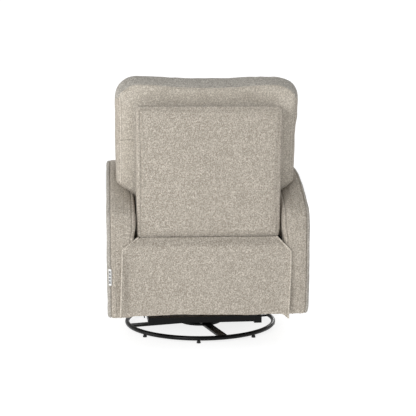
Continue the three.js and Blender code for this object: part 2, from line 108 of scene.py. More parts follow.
floor_mesh = bpy.data.meshes.new("studio_floor")
floor_mesh.from_pydata([(-8, -8, 0), (8, -8, 0), (8, 8, 0), (-8, 8, 0)], [], [(0, 1, 2, 3)])
floor = bpy.data.objects.new("studio_floor", floor_mesh)
bpy.context.collection.objects.link(floor)
floor_paint = bpy.data.materials.new("studio_floor")
floor_paint.use_nodes = True
floor_shader = floor_paint.node_tree.nodes["Principled BSDF"]
floor_shader.inputs["Base Color"].default_value = (0.4, 0.4, 0.4, 1)
floor_shader.inputs["Specular IOR Level"].default_value = 0.0
floor_shader.inputs["Emission Color"].default_value = (1, 1, 1, 1)
floor_shader.inputs["Emission Strength"].default_value = 0.82
floor_shader.inputs["Roughness"].default_value = 0.7
floor_mesh.materials.append(floor_paint)

# ---- Fabric ---------------------------------------------------------------------------
# Oatmeal boucle: a knit of small curled loops that wander over the cloth like worms, so
# it is mottled close up, soft at its edges and without shine. Two extra copies of the
# cloth carry painted light: a lighter one is painted light on well-lit panels and edges,
# and a cooler, darker one is painted sheen and shade on edge-on and upward-facing panels.


def new_node(tree, kind, inputs=None, **values):
    """A node with its own settings. Each input, by name or number, is a value or a link."""
    node = tree.nodes.new(kind)
    for name, value in values.items():
        setattr(node, name, value)
    for name, value in (inputs or {}).items():
        if isinstance(value, bpy.types.NodeSocket):
            tree.links.new(value, node.inputs[name])
        else:
            node.inputs[name].default_value = value
    return node


def material(name):
    """A new material, its tree and its main shader."""
    made = bpy.data.materials.new(name)
    made.use_nodes = True
    return made, made.node_tree, made.node_tree.nodes["Principled BSDF"]


def two_tones(tree, driver, dark, light, low=0.0, high=1.0):
    """A colour ramp from dark to light between two positions."""
    ramp = new_node(tree, "ShaderNodeValToRGB", {"Fac": driver})
    for end, position, colour in zip(ramp.color_ramp.elements, (low, high), (dark, light)):
        end.position = position
        end.color = (*colour, 1)
    return ramp.outputs["Color"]


def coat(tree, shader, colour, height, **relief):
    """Give a shader its colour and its bump."""
    bump = new_node(tree, "ShaderNodeBump", {**relief, "Height": height})
    tree.links.new(colour, shader.inputs["Base Color"])
    tree.links.new(bump.outputs["Normal"], shader.inputs["Normal"])


def group_with(name, sizes, results):
    """An empty shader group with named inputs and outputs; also gives its two ends."""
    tree = bpy.data.node_groups.new(name, "ShaderNodeTree")
    for size, value in sizes.items():
        socket = tree.interface.new_socket(size, in_out="INPUT", socket_type="NodeSocketFloat")
        socket.default_value = value
    for outcome in results:
        tree.interface.new_socket(outcome, in_out="OUTPUT", socket_type="NodeSocketFloat")
    return tree, new_node(tree, "NodeGroupInput"), new_node(tree, "NodeGroupOutput")


def boucle_group():
    sizes = {"Loop Size": 0.0043, "Curl": 0.9, "Worm": 148.0}
    tree, given, result = group_with("boucle_loops", sizes, ("Tone", "Height"))
    link = tree.links.new
    place = new_node(tree, "ShaderNodeTexCoord")
    # Small round loops: cells pushed about by noise, because the yarn wanders.
    pitch = new_node(tree, "ShaderNodeMath", {
        0: 1.0, 1: given.outputs["Loop Size"],
    }, operation="DIVIDE")
    wander = new_node(tree, "ShaderNodeTexNoise", {
        "Scale": 130.0, "Detail": 2.0, "Vector": place.outputs["Object"],
    })
    centred = new_node(tree, "ShaderNodeVectorMath", {
        1: (0.5, 0.5, 0.5), 0: wander.outputs["Color"],
    }, operation="SUBTRACT")
    reach = new_node(tree, "ShaderNodeMath", {
        0: given.outputs["Loop Size"], 1: given.outputs["Curl"],
    }, operation="MULTIPLY")
    push = new_node(tree, "ShaderNodeVectorMath", {
        0: centred.outputs["Vector"], "Scale": reach.outputs["Value"],
    }, operation="SCALE")
    moved = new_node(tree, "ShaderNodeVectorMath", {
        0: place.outputs["Object"], 1: push.outputs["Vector"],
    }, operation="ADD")
    loops = new_node(tree, "ShaderNodeTexVoronoi", {
        "Smoothness": 0.3, "Vector": moved.outputs["Vector"], "Scale": pitch.outputs["Value"],
    }, feature="SMOOTH_F1")
    hill = new_node(tree, "ShaderNodeMapRange", {
        "From Min": 0.12, "From Max": 0.62, "To Min": 1.0, "To Max": 0.0,
        "Value": loops.outputs["Distance"],
    })
    # Curls: ridges along the middle value of a noise make lines that wind like worms.
    bands = new_node(tree, "ShaderNodeTexNoise", {
        "Detail": 1.0, "Distortion": 0.35, "Vector": moved.outputs["Vector"],
        "Scale": given.outputs["Worm"],
    })
    middle = new_node(tree, "ShaderNodeMath", {
        1: 0.5, 0: bands.outputs["Fac"],
    }, operation="SUBTRACT")
    away = new_node(tree, "ShaderNodeMath", {0: middle.outputs["Value"]}, operation="ABSOLUTE")
    worm = new_node(tree, "ShaderNodeMapRange", {
        "From Min": 0.0, "From Max": 0.11, "To Min": 1.0, "To Max": 0.0,
        "Value": away.outputs["Value"],
    }, interpolation_type="SMOOTHSTEP")
    fuzz = new_node(tree, "ShaderNodeTexNoise", {
        "Scale": 430.0, "Detail": 3.0, "Vector": place.outputs["Object"],
    })
    drift = new_node(tree, "ShaderNodeTexNoise", {
        "Scale": 6.0, "Detail": 3.0, "Vector": place.outputs["Object"],
    })
    # Tone: curls and loops together, then a slow drift over the panel.
    knit = new_node(tree, "ShaderNodeMix", {
        0: 0.58, 2: hill.outputs["Result"], 3: worm.outputs["Result"],
    }, data_type="FLOAT")
    slow = new_node(tree, "ShaderNodeMix", {
        0: 0.10, 2: knit.outputs[0], 3: drift.outputs["Fac"],
    }, data_type="FLOAT")
    link(slow.outputs[0], result.inputs["Tone"])
    high = new_node(tree, "ShaderNodeMath", {
        1: 0.35, 0: fuzz.outputs["Fac"], 2: knit.outputs[0],
    }, operation="MULTIPLY_ADD")
    link(high.outputs["Value"], result.inputs["Height"])
    return tree


boucle_loops = boucle_group()


def boucle(name, dark, light, sheen):
    cloth, tree, shader = material(name)
    shader.inputs["Roughness"].default_value = 0.95
    shader.inputs["Specular IOR Level"].default_value = 0.1
    shader.inputs["Sheen Weight"].default_value = sheen
    shader.inputs["Sheen Roughness"].default_value = 0.6
    shader.inputs["Sheen Tint"].default_value = (0.82, 0.8, 0.76, 1)
    loops = new_node(tree, "ShaderNodeGroup", node_tree=boucle_loops)
    shades = two_tones(tree, loops.outputs["Tone"], dark, light, 0.10, 0.82)
    coat(tree, shader, shades, loops.outputs["Height"], Strength=0.85, Distance=0.0018)
    return cloth


oatmeal = boucle("oatmeal_boucle", (0.333, 0.292, 0.241), (0.675, 0.619, 0.54), 0.05)
# Painted light: a lighter copy of the cloth for panels and edges in the light, and a cooler, darker copy that
# is painted sheen and shade.
oatmeal_painted_light = boucle("oatmeal_boucle_painted_light", (0.455, 0.405, 0.34), (0.81, 0.752, 0.66), 0.05)
oatmeal_painted_sheen_shade = boucle("oatmeal_boucle_painted_sheen_shade", (0.315, 0.292, 0.257), (0.60, 0.567, 0.513), 0.05)

# ---- Arms -----------------------------------------------------------------------------
# Each arm is a plywood board in a sewn cover: an inner panel, a boxing band that runs all
# round, and an outer panel that bulges. The seams are plain, with a topstitch beside them.


def even_loop(points, step):
    """A closed outline as points a near-even step apart, starting at its first point."""
    path = np.array(points + points[:1], float)
    lengths = np.r_[0, np.cumsum(np.hypot(*np.diff(path, axis=0).T))]
    count = int(round(lengths[-1] / step))
    at = np.linspace(0, lengths[-1], count, endpoint=False)
    return np.c_[np.interp(at, lengths, path[:, 0]), np.interp(at, lengths, path[:, 1])]


def arc(centre, radius, start, end, steps=10):
    turn = np.radians(np.linspace(start, end, steps))
    return [(centre[0] + radius * math.cos(t), centre[1] + radius * math.sin(t)) for t in turn]


def spline(points, steps=10):
    """A smooth curve through every point, uniform Catmull-Rom."""
    p = np.array([points[0], *points, points[-1]], float)
    t = np.linspace(0, 1, steps, endpoint=False)[:, None]
    spans = []
    for a, b, c, d in zip(p, p[1:], p[2:], p[3:]):
        bend = 2 * a - 5 * b + 4 * c - d
        twist = 3 * b - a - 3 * c + d
        spans.append(0.5 * (2 * b + (c - a) * t + bend * t**2 + twist * t**3))
    return [tuple(q) for q in np.vstack([*spans, p[-1:]])]


def piece_from(name, points, faces, cloth):
    mesh = bpy.data.meshes.new(name)
    mesh.from_pydata([tuple(p) for p in points], [], faces)
    shell = bmesh.new()
    shell.from_mesh(mesh)
    bmesh.ops.recalc_face_normals(shell, faces=shell.faces)
    shell.to_mesh(mesh)
    shell.free()
    for polygon in mesh.polygons:
        polygon.use_smooth = True
    mesh.materials.append(cloth)
    piece = bpy.data.objects.new(name, mesh)
    bpy.context.collection.objects.link(piece)
    return piece


def sewn(name, outline, centre, profile, place, cloth):
    """A closed cover of rings round `centre`. Each profile entry (inset, share, depth)
    is a ring: the outline moved in by inset, then by a share of what is left."""
    ring = np.array(outline)
    spoke = ring - np.array(centre)
    reach = np.linalg.norm(spoke, axis=1)[:, None]
    points = []
    for inset, share, depth in profile:
        flat = np.array(centre) + spoke / reach * (reach - inset) * (1 - share)
        points.append(np.array([place(a, b, depth) for a, b in flat]))
    count = len(ring)
    faces = []
    for row in range(len(profile) - 1):
        for i in range(count):
            j = (i + 1) % count
            faces.append((row * count + i, row * count + j, (row + 1) * count + j, (row + 1) * count + i))
    vertices = np.vstack(points)
    first, last = profile[0][2], profile[-1][2]
    poles = np.array([place(*centre, first), place(*centre, last)])
    low, high = len(vertices), len(vertices) + 1
    top = (len(profile) - 1) * count
    for i in range(count):
        j = (i + 1) % count
        faces.append((low, j, i))
        faces.append((high, top + i, top + j))
    return piece_from(name, np.vstack([vertices, poles]), faces, cloth)


def steps_between(start, end, count):
    """Profile entries evenly from one to the other, without the first."""
    return [tuple(np.array(start) + (np.array(end) - np.array(start)) * k / count)
            for k in range(1, count + 1)]


def read_points(piece):
    """The mesh's points and their normals, as arrays."""
    count = len(piece.data.vertices)
    points = np.empty(count * 3)
    normals = np.empty(count * 3)
    piece.data.vertices.foreach_get("co", points)
    piece.data.vertices.foreach_get("normal", normals)
    return points.reshape(-1, 3), normals.reshape(-1, 3)


def write_points(piece, points):
    piece.data.vertices.foreach_set("co", points.ravel())
    piece.data.update()


def crumple(piece, amount, size, seed):
    """Slow, uneven give in the stuffing, along the surface's own normals."""
    points, normals = read_points(piece)
    shift = Vector((seed, 2 * seed, 3 * seed))
    spots = [Vector(p) / size + shift for p in points]
    lift = [noise.noise(at) + 0.5 * noise.noise(at * 2.3) for at in spots]
    points += normals * (amount * np.array(lift)[:, None])
    write_points(piece, points)


def stuff(piece, pressure, cap, firm_rings, ring_size):
    """Cloth blown up by its stuffing and held at its seams."""
    held = piece.vertex_groups.new(name="held")
    held.add([r * ring_size + i for r in firm_rings for i in range(ring_size)], 1.0, "REPLACE")
    cloth = piece.modifiers.new("stuffing", "CLOTH")
    cloth.settings.quality = 4
    cloth.settings.mass = 0.25
    cloth.settings.tension_stiffness = 20
    cloth.settings.compression_stiffness = 14
    cloth.settings.shear_stiffness = 8
    cloth.settings.bending_stiffness = 0.6
    cloth.settings.use_pressure = True
    cloth.settings.uniform_pressure_force = pressure
    cloth.settings.effector_weights.gravity = 0
    cloth.settings.vertex_group_mass = "held"
    for step in range(1, 21):
        bpy.context.scene.frame_set(step)
    seen = piece.evaluated_get(bpy.context.evaluated_depsgraph_get())
    count = len(piece.data.vertices)
    rest = np.empty(count * 3)
    blown = np.empty(count * 3)
    piece.data.vertices.foreach_get("co", rest)
    seen.data.vertices.foreach_get("co", blown)
    move = (blown - rest).reshape(-1, 3)
    length = np.linalg.norm(move, axis=1)[:, None]
    move *= np.minimum(1, cap / np.maximum(length, 1e-9))
    piece.modifiers.remove(cloth)
    piece.vertex_groups.remove(held)
    piece.data.vertices.foreach_set("co", rest + move.ravel())
    piece.data.update()
    bpy.context.scene.frame_set(1)


def soften(piece):
    """Finish a sewn piece with one level of subdivision."""
    smooth = piece.modifiers.new("smooth", "SUBSURF")
    smooth.levels = smooth.render_levels = 1


ARM_FRONT, ARM_LOW = -0.372, 0.122
ARM_SEAM_IN, ARM_SEAM_OUT = 0.3000, 0.3725
ARM_INNER, ARM_OUTER = 0.2850, 0.3885
# (y, z) from the low rear corner, up the rear end and over the long slope to the top.
arm_rise = [
    (0.364, ARM_LOW), (0.385, ARM_LOW + 0.022), (0.396, 0.245), (0.399, 0.340),
    (0.399, 0.430), (0.391, 0.500), (0.372, 0.537), (0.300, 0.592), (0.205, 0.642),
    (0.097, 0.668), (-0.033, 0.686), (-0.163, 0.686), (-0.300, 0.676),
]


def smooth_step(value, low, high):
    t = min(1.0, max(0.0, (value - low) / (high - low)))
    return t * t * (3 - 2 * t)


def arm_outline():
    front_top = arc((ARM_FRONT + 0.068, 0.608), 0.068, 88, 180)
    front_low = arc((ARM_FRONT + 0.020, ARM_LOW + 0.020), 0.020, 180, 270)
    return even_loop(spline(arm_rise) + front_top + front_low, 0.008)


arm_profile = [
    (0, 0.94, ARM_INNER + 0.001),
    *steps_between((0, 0.94, ARM_INNER + 0.001), (0.030, 0, ARM_INNER + 0.0005), 16),
    (0.016, 0, ARM_INNER + 0.0015), (0.007, 0, ARM_INNER + 0.004), (0.0030, 0, ARM_INNER + 0.008),
    (0.0020, 0, ARM_SEAM_IN - 0.0018), (0.0065, 0, ARM_SEAM_IN), (0.0018, 0, ARM_SEAM_IN + 0.0018),
    (0.0002, 0, ARM_SEAM_IN + 0.006),
    *steps_between((0.0002, 0, ARM_SEAM_IN + 0.006), (0.0002, 0, ARM_SEAM_OUT - 0.006), 6),
    (0.0018, 0, ARM_SEAM_OUT - 0.0018), (0.0075, 0, ARM_SEAM_OUT), (0.0022, 0, ARM_SEAM_OUT + 0.0018),
    (0.0030, 0, ARM_SEAM_OUT + 0.006), (0.006, 0, ARM_SEAM_OUT + 0.011), (0.018, 0, ARM_OUTER - 0.001),
    *steps_between((0.018, 0, ARM_OUTER - 0.001), (0, 0.94, ARM_OUTER), 16),
]
ARM_SEAMS = [i for i, ring in enumerate(arm_profile) if ring[2] in (ARM_SEAM_IN, ARM_SEAM_OUT)]
arm_loop = arm_outline()
seam_lines = []


def arm_place(side, a, b, w):
    # The padding swells inwards beside the back, and gives where the wing rests on it.
    swell = 0.0065 * smooth_step(a, 0.18, 0.30) * smooth_step(b, 0.425, 0.47)
    swell *= 1 - smooth_step(b, 0.60, 0.64)
    swell *= 1 - smooth_step(w, ARM_SEAM_IN + 0.002, ARM_SEAM_IN + 0.03)
    give = 0.028 * (1 - smooth_step(w, 0.290, 0.345)) * math.exp(-((a - 0.21) / 0.10) ** 2)
    give *= smooth_step(b, 0.45, 0.60)
    return (side * (w - swell), a, b - give)


POCKET = 0.0045


def let_in_controls(piece):
    """Press a shallow pocket into the rear outer corner for the control strip."""
    low, high = (np.array(corner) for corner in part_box("control_plate"))
    middle = (low + high) / 2
    points, _ = read_points(piece)
    outwards = (points[:, :2] - middle[:2]).sum(axis=1) / math.sqrt(2)
    beside = np.abs(points[:, 2] - middle[2]) < (high[2] - low[2]) / 2 + 0.004
    pressed = beside & (outwards > -POCKET) & (points[:, 1] > 0.30)
    points[pressed, :2] -= (outwards[pressed] + POCKET)[:, None] / math.sqrt(2)
    write_points(piece, points)


def sew_line(body, piece, row, count):
    """Remember a ring of a sewn piece as a line of stitches, just proud of the cloth."""
    points, normals = read_points(piece)
    ring = slice(row * count, (row + 1) * count)
    seam_lines.append((body, points[ring] + 0.0008 * normals[ring]))


for side, name in ((1, "left"), (-1, "right")):
    arm = sewn(
        f"arm_{name}", arm_loop, (0.0, 0.40), arm_profile,
        lambda a, b, w, s=side: arm_place(s, a, b, w), oatmeal,
    )
    # The outer panel takes the cooler, darker copy of the cloth: painted sheen where the cloth is seen
    # edge-on.
    arm.data.materials.append(oatmeal_painted_sheen_shade)
    for face in arm.data.polygons:
        face.material_index = int(abs(face.center.x) > ARM_SEAM_OUT + 0.001)
    crumple(arm, 0.0020, 0.11, 3 + side)
    crumple(arm, 0.0006, 0.035, 40 + side)
    if side > 0:
        let_in_controls(arm)
    sew_line("carriage", arm, ARM_SEAMS[1] - 3, len(arm_loop))
    sew_line("carriage", arm, ARM_SEAMS[0] + 4, len(arm_loop))
    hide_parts(f"arm_cover_{name}")
    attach(arm, "carriage")

# ---- Outer back -----------------------------------------------------------------------
# A shallow upholstered box that closes the back from behind. Its rear panel is joined to
# the boxing with a double row of topstitching down each side.

BACK_HALF = 0.273
BACK_LOW, BACK_TOP = 0.426, 0.926
BACK_DEEP = 0.088
BACK_REAR_LOW, BACK_REAR_TOP = 0.372, 0.412
back_lean = (BACK_REAR_TOP - BACK_REAR_LOW) / (BACK_TOP - BACK_LOW)


def behind(z, offset):
    """y of a plane parallel to the outer back, offset metres in front of it."""
    return BACK_REAR_LOW + back_lean * (z - BACK_LOW) - offset


def rounded(half, low, high, low_radius, high_radius, step):
    corner_low, corner_high = low + low_radius, high - high_radius
    return even_loop(
        arc((half - low_radius, corner_low), low_radius, -90, 0)
        + arc((half - high_radius, corner_high), high_radius, 0, 90)
        + arc((high_radius - half, corner_high), high_radius, 90, 180)
        + arc((low_radius - half, corner_low), low_radius, 180, 270), step)


def back_place(a, b, w):
    # The lowest hand's breadth draws in to the seat frame's width.
    draw = max(0.0, 1 - (b - BACK_LOW) / 0.045) ** 2
    return (a * (1 - 0.022 * draw), behind(b, w), b)


back_profile = [
    (0, 0.94, 0.014), *steps_between((0, 0.94, 0.014), (0.016, 0, 0.014), 6),
    (0.014, 0, 0.016), (0.014, 0, BACK_DEEP - 0.004), (0.011, 0, BACK_DEEP), (0.004, 0, BACK_DEEP),
    (0, 0, BACK_DEEP - 0.004), *steps_between((0, 0, BACK_DEEP - 0.004), (0, 0, 0.014), 8),
    (0.0005, 0, 0.009), (0.003, 0, 0.006), (0.0045, 0, 0.0052), (0.0035, 0, 0.003),
    (0.007, 0, 0.0012), (0.013, 0, 0.0002), (0.0155, 0, 0.0016), (0.018, 0, -0.0004),
    (0.028, 0, -0.002), (0.05, 0, -0.004), *steps_between((0.05, 0, -0.004), (0, 0.94, -0.006), 18),
]
BACK_SEAM = [i for i, ring in enumerate(back_profile) if ring[0] == 0.0155][0]
back_loop = rounded(BACK_HALF, BACK_LOW, BACK_TOP, 0.006, 0.014, 0.007)
outer_back = sewn("outer_back", back_loop, (0, 0.676), back_profile, back_place, oatmeal)
crumple(outer_back, 0.0018, 0.13, 11)
crumple(outer_back, 0.0007, 0.04, 51)
sew_line("back", outer_back, BACK_SEAM - 1, len(back_loop))
sew_line("back", outer_back, BACK_SEAM + 2, len(back_loop))
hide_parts("back_panel")
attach(outer_back, "back")

# ---- Winged back shell ----------------------------------------------------------------
# Behind the cushion, one continuous upholstered shell spans both wings: a rear panel set
# in from the outline, and a boxing band that rolls over the top and down the sides.

WING_HALF = 0.350
SHELL_HALF, SHELL_LOW, SHELL_TOP = 0.281, 0.486, 1.037
SHELL_DEEP = 0.100


def shell_rear(z):
    return 0.270 + 0.0994 * (z - 0.618)


def shell_place(a, b, w):
    # Under the wings the edge climbs forwards, to clear the sloping arms. Along the top
    # the boxing rolls over, and the sitter's right cheek is stuffed a little fuller.
    low = smooth_step(0.74 - b, 0, 0.12) * smooth_step(abs(a), 0.262, 0.282)
    sag = 0.006 * (1 - smooth_step(abs(a), 0.05, 0.24)) * smooth_step(b, 0.85, 1.0)
    roll = 0.020 * smooth_step(b, 0.955, 1.015) * smooth_step(0.06 - w, 0, 0.05)
    full = 0.0085 * smooth_step(-a, 0.28, 0.34) * smooth_step(b, 0.80, 0.90)
    return (a - full, shell_rear(b) - w, b + 0.40 * w * low - sag - roll)


def shell_outline():
    right = (
        [(0, SHELL_LOW), (SHELL_HALF - 0.03, SHELL_LOW)]
        + arc((SHELL_HALF - 0.02, SHELL_LOW + 0.02), 0.02, -90, 0, 6)
        + [(SHELL_HALF, 0.540), (SHELL_HALF + 0.003, 0.556), (0.292, 0.569), (0.319, 0.590), (0.340, 0.609)]
        + arc((WING_HALF - 0.012, 0.625), 0.012, -40, 0, 5)
        + arc((WING_HALF - 0.074, SHELL_TOP - 0.074), 0.074, 0, 90)
    )
    return even_loop(right + [(-a, b) for a, b in reversed(right[1:])], 0.008)


shell_profile = [
    (0, 0.94, SHELL_DEEP), *steps_between((0, 0.94, SHELL_DEEP), (0.02, 0, SHELL_DEEP), 6),
    (0.006, 0, SHELL_DEEP - 0.004), (0.001, 0, SHELL_DEEP - 0.014),
    *steps_between((0.001, 0, SHELL_DEEP - 0.014), (0.001, 0, 0.045), 6),
    (0.004, 0, 0.028), (0.010, 0, 0.014), (0.016, 0, 0.0075), (0.0185, 0, 0.0072),
    (0.0195, 0, 0.0045), (0.024, 0, 0.0018), (0.032, 0, 0.0004), (0.05, 0, 0),
    *steps_between((0.05, 0, 0), (0, 0.94, -0.001), 14),
]
SHELL_SEAM = [i for i, ring in enumerate(shell_profile) if ring[0] == 0.0185][0]
shell_loop = shell_outline()
# The rear panel is in the lighter copy, painted light. The top of the boxing is in the cooler, darker copy,
# painted sheen and shade where it faces up. The rest of the boxing is plain cloth.
winged_shell = sewn("winged_shell", shell_loop, (0, 0.80), shell_profile, shell_place, oatmeal_painted_light)
winged_shell.data.materials.append(oatmeal_painted_sheen_shade)
winged_shell.data.materials.append(oatmeal)
for face in winged_shell.data.polygons:
    boxing = min(face.vertices) < SHELL_SEAM * len(shell_loop)
    face.material_index = (1 if face.center.z > 0.955 else 2) if boxing else 0
crumple(winged_shell, 0.0028, 0.09, 5)
crumple(winged_shell, 0.0011, 0.033, 31)
sew_line("back", winged_shell, SHELL_SEAM + 2, len(shell_loop))
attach(winged_shell, "back")

# ---- Back cushion ---------------------------------------------------------------------
# The sitter's cushion: fibre-filled, fuller at the lumbar and at the head, with a soft
# valley between. Its front panel is sewn to a boxing and blown up by its stuffing.

CUSHION_HALF, CUSHION_LOW, CUSHION_TOP = 0.271, 0.489, 1.026
fullness = [
    (0.48, 0.080), (0.60, 0.122), (0.70, 0.112), (0.79, 0.080), (0.90, 0.096), (0.98, 0.078), (1.03, 0.05),
]


def cushion_place(a, b, w):
    deep = np.interp(b, *zip(*fullness))
    sag = 0.007 * (1 - smooth_step(abs(a), 0.05, 0.24)) * smooth_step(b, 0.85, 1.0)
    return (a, shell_rear(b) - SHELL_DEEP - 0.002 - deep * w, b - sag)


cushion_profile = [
    (0, 0.94, 0), *steps_between((0, 0.94, 0), (0.02, 0, 0), 6), (0.006, 0, 0.04), (0.001, 0, 0.14),
    *steps_between((0.001, 0, 0.14), (0.001, 0, 0.66), 5), (0.003, 0, 0.72), (0.0065, 0, 0.75),
    (0.006, 0, 0.80), (0.011, 0, 0.88), (0.022, 0, 0.95), (0.04, 0, 0.99),
    *steps_between((0.04, 0, 0.99), (0, 0.94, 1.0), 20),
]
CUSHION_SEAM = [i for i, ring in enumerate(cushion_profile) if ring[0] == 0.0065][0]
cushion_loop = rounded(CUSHION_HALF, CUSHION_LOW, CUSHION_TOP, 0.030, 0.045, 0.011)
back_cushion = sewn(
    "back_cushion_cover", cushion_loop, (0, 0.76), cushion_profile, cushion_place, oatmeal)
stuff(back_cushion, 3.0, 0.012, [*range(0, 8), CUSHION_SEAM], len(cushion_loop))
crumple(back_cushion, 0.003, 0.10, 7)
soften(back_cushion)
sew_line("back", back_cushion, CUSHION_SEAM - 2, len(cushion_loop))
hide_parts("back_cushion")
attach(back_cushion, "back")

# ---- Wings ----------------------------------------------------------------------------
# Firm padded cheeks at each side of the head, sewn like small box cushions. Their top
# outer corners follow the round of the shell behind them.

WING_IN, WING_OUT = 0.2775, 0.3485
wing_points = [
    (0.166, 0.668), (0.120, 0.682), (0.078, 0.690), (0.046, 0.716), (0.047, 0.775), (0.066, 0.870),
    (0.090, 0.955), (0.122, 1.006), (0.160, 1.030), (0.196, 1.031), (0.208, 1.010), (0.196, 0.920),
    (0.184, 0.800), (0.174, 0.700),
]


def wing_round(x):
    over = max(0.0, abs(x) - 0.270)
    return 0.080 - math.sqrt(max(0.0, 0.080**2 - over**2))


wing_profile = [
    (0, 0.94, WING_IN - 0.002), *steps_between((0, 0.94, WING_IN - 0.002), (0.012, 0, WING_IN), 9),
    (0.006, 0, WING_IN + 0.002), (0.002, 0, WING_IN + 0.006), (0.0042, 0, WING_IN + 0.0072),
    (0.0015, 0, WING_IN + 0.0086), (0, 0, WING_IN + 0.014),
    *steps_between((0, 0, WING_IN + 0.014), (0, 0, WING_OUT - 0.014), 5),
    (0.0015, 0, WING_OUT - 0.0086), (0.0042, 0, WING_OUT - 0.0072), (0.002, 0, WING_OUT - 0.006),
    (0.006, 0, WING_OUT - 0.002), (0.012, 0, WING_OUT),
    *steps_between((0.012, 0, WING_OUT), (0, 0.94, WING_OUT + 0.002), 9),
]
wing_loop = even_loop(spline(wing_points + wing_points[:1], 8)[:-1], 0.009)
WING_SEAMS = [i for i, ring in enumerate(wing_profile) if ring[0] == 0.0042]

for side, name in ((1, "left"), (-1, "right")):
    wing = sewn(
        f"wing_cover_{name}", wing_loop, (0.125, 0.840), wing_profile,
        lambda a, b, w, s=side: (s * w, a, b - wing_round(w) * smooth_step(b, 0.80, 1.03)), oatmeal,
    )
    crumple(wing, 0.0016, 0.07, 9 + side)
    soften(wing)
    sew_line("back", wing, WING_SEAMS[0] + 2, len(wing_loop))
    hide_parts(f"wing_{name}")
    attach(wing, "back")

# ---- Seat cushion ---------------------------------------------------------------------
# A foam block in a boxed cover with seams round the top and bottom panels. The stuffing
# crowns the top, and the front edge is rounded for the backs of the knees.

SEAT_HALF, SEAT_FRONT, SEAT_BACK = 0.278, -0.343, 0.262
SEAT_LOW, SEAT_TOP = 0.352, 0.470


def seat_place(a, b, w):
    knee = 0.022 * smooth_step(-b, 0.25, 0.345) * smooth_step(w, 0.36, SEAT_TOP)
    return (a, b, w - knee)


seat_profile = [
    (0, 0.94, SEAT_LOW), *steps_between((0, 0.94, SEAT_LOW), (0.02, 0, SEAT_LOW), 8),
    (0.008, 0, SEAT_LOW + 0.003), (0.002, 0, SEAT_LOW + 0.009), (0.0055, 0, SEAT_LOW + 0.011),
    (0.0015, 0, SEAT_LOW + 0.013), (-0.001, 0, SEAT_LOW + 0.022),
    *steps_between((-0.001, 0, SEAT_LOW + 0.022), (-0.001, 0, SEAT_TOP - 0.030), 6),
    (0.0015, 0, SEAT_TOP - 0.020), (0.0055, 0, SEAT_TOP - 0.018), (0.002, 0, SEAT_TOP - 0.016),
    (0.008, 0, SEAT_TOP - 0.008), (0.020, 0, SEAT_TOP - 0.003),
    *steps_between((0.020, 0, SEAT_TOP - 0.003), (0, 0.94, SEAT_TOP), 22),
]
SEAT_SEAMS = [i for i, ring in enumerate(seat_profile) if ring[0] == 0.0055]
seat_loop = rounded(SEAT_HALF, SEAT_FRONT, SEAT_BACK, 0.040, 0.030, 0.011)
seat = sewn("seat_cushion_cover", seat_loop, (0, -0.04), seat_profile, seat_place, oatmeal)
stuff(seat, 3.0, 0.010, [*range(0, 10), *SEAT_SEAMS], len(seat_loop))
crumple(seat, 0.0025, 0.12, 13)
soften(seat)
sew_line("carriage", seat, SEAT_SEAMS[1] - 2, len(seat_loop))
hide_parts("seat_cushion")
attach(seat, "carriage")

# ---- Footrest pad ---------------------------------------------------------------------
# A slim pad stapled round its plywood board, with one seam round the front panel.

PAD_HALF, PAD_LOW, PAD_TOP = 0.266, 0.140, 0.423
PAD_REAR, PAD_FRONT = -0.3625, -0.408
pad_profile = [
    (0, 0.94, PAD_REAR), *steps_between((0, 0.94, PAD_REAR), (0.012, 0, PAD_REAR), 6),
    (0.004, 0, PAD_REAR - 0.002), (0.001, 0, PAD_REAR - 0.008),
    *steps_between((0.001, 0, PAD_REAR - 0.008), (0.001, 0, PAD_FRONT + 0.018), 3),
    (0.0025, 0, PAD_FRONT + 0.014), (0.0055, 0, PAD_FRONT + 0.0125), (0.004, 0, PAD_FRONT + 0.010),
    (0.009, 0, PAD_FRONT + 0.005), (0.020, 0, PAD_FRONT + 0.001),
    *steps_between((0.020, 0, PAD_FRONT + 0.001), (0, 0.94, PAD_FRONT - 0.001), 14),
]
PAD_SEAM = [i for i, ring in enumerate(pad_profile) if ring[0] == 0.0055][0]
pad_loop = rounded(PAD_HALF, PAD_LOW, PAD_TOP, 0.022, 0.022, 0.009)
footrest_pad = sewn(
    "footrest_pad_cover", pad_loop, (0, 0.2815), pad_profile, lambda a, b, w: (a, w, b), oatmeal)
stuff(footrest_pad, 3.0, 0.006, [*range(0, 8), PAD_SEAM], len(pad_loop))
crumple(footrest_pad, 0.0015, 0.10, 17)
soften(footrest_pad)
sew_line("footrest", footrest_pad, PAD_SEAM - 2, len(pad_loop))
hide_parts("footrest_pad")
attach(footrest_pad, "footrest")

# ---- Rear flap ------------------------------------------------------------------------
# A lined flap that hides the mechanism. It is sewn to the foot of the outer back, spreads
# over the backs of the arms, and hangs free, so its side folds and its corner droops.

# (z, x) down each side.
flap_left = [
    (0.433, 0.270), (0.420, 0.289), (0.392, 0.331), (0.300, 0.334), (0.200, 0.338), (0.133, 0.341),
]
flap_right = [
    (0.431, -0.259), (0.418, -0.272), (0.377, -0.313), (0.300, -0.312), (0.200, -0.308), (0.131, -0.304),
]
FLAP_ACROSS, FLAP_DOWN = 120, 56


def bump_at(value, middle, width):
    return math.exp(-((value - middle) / width) ** 2)


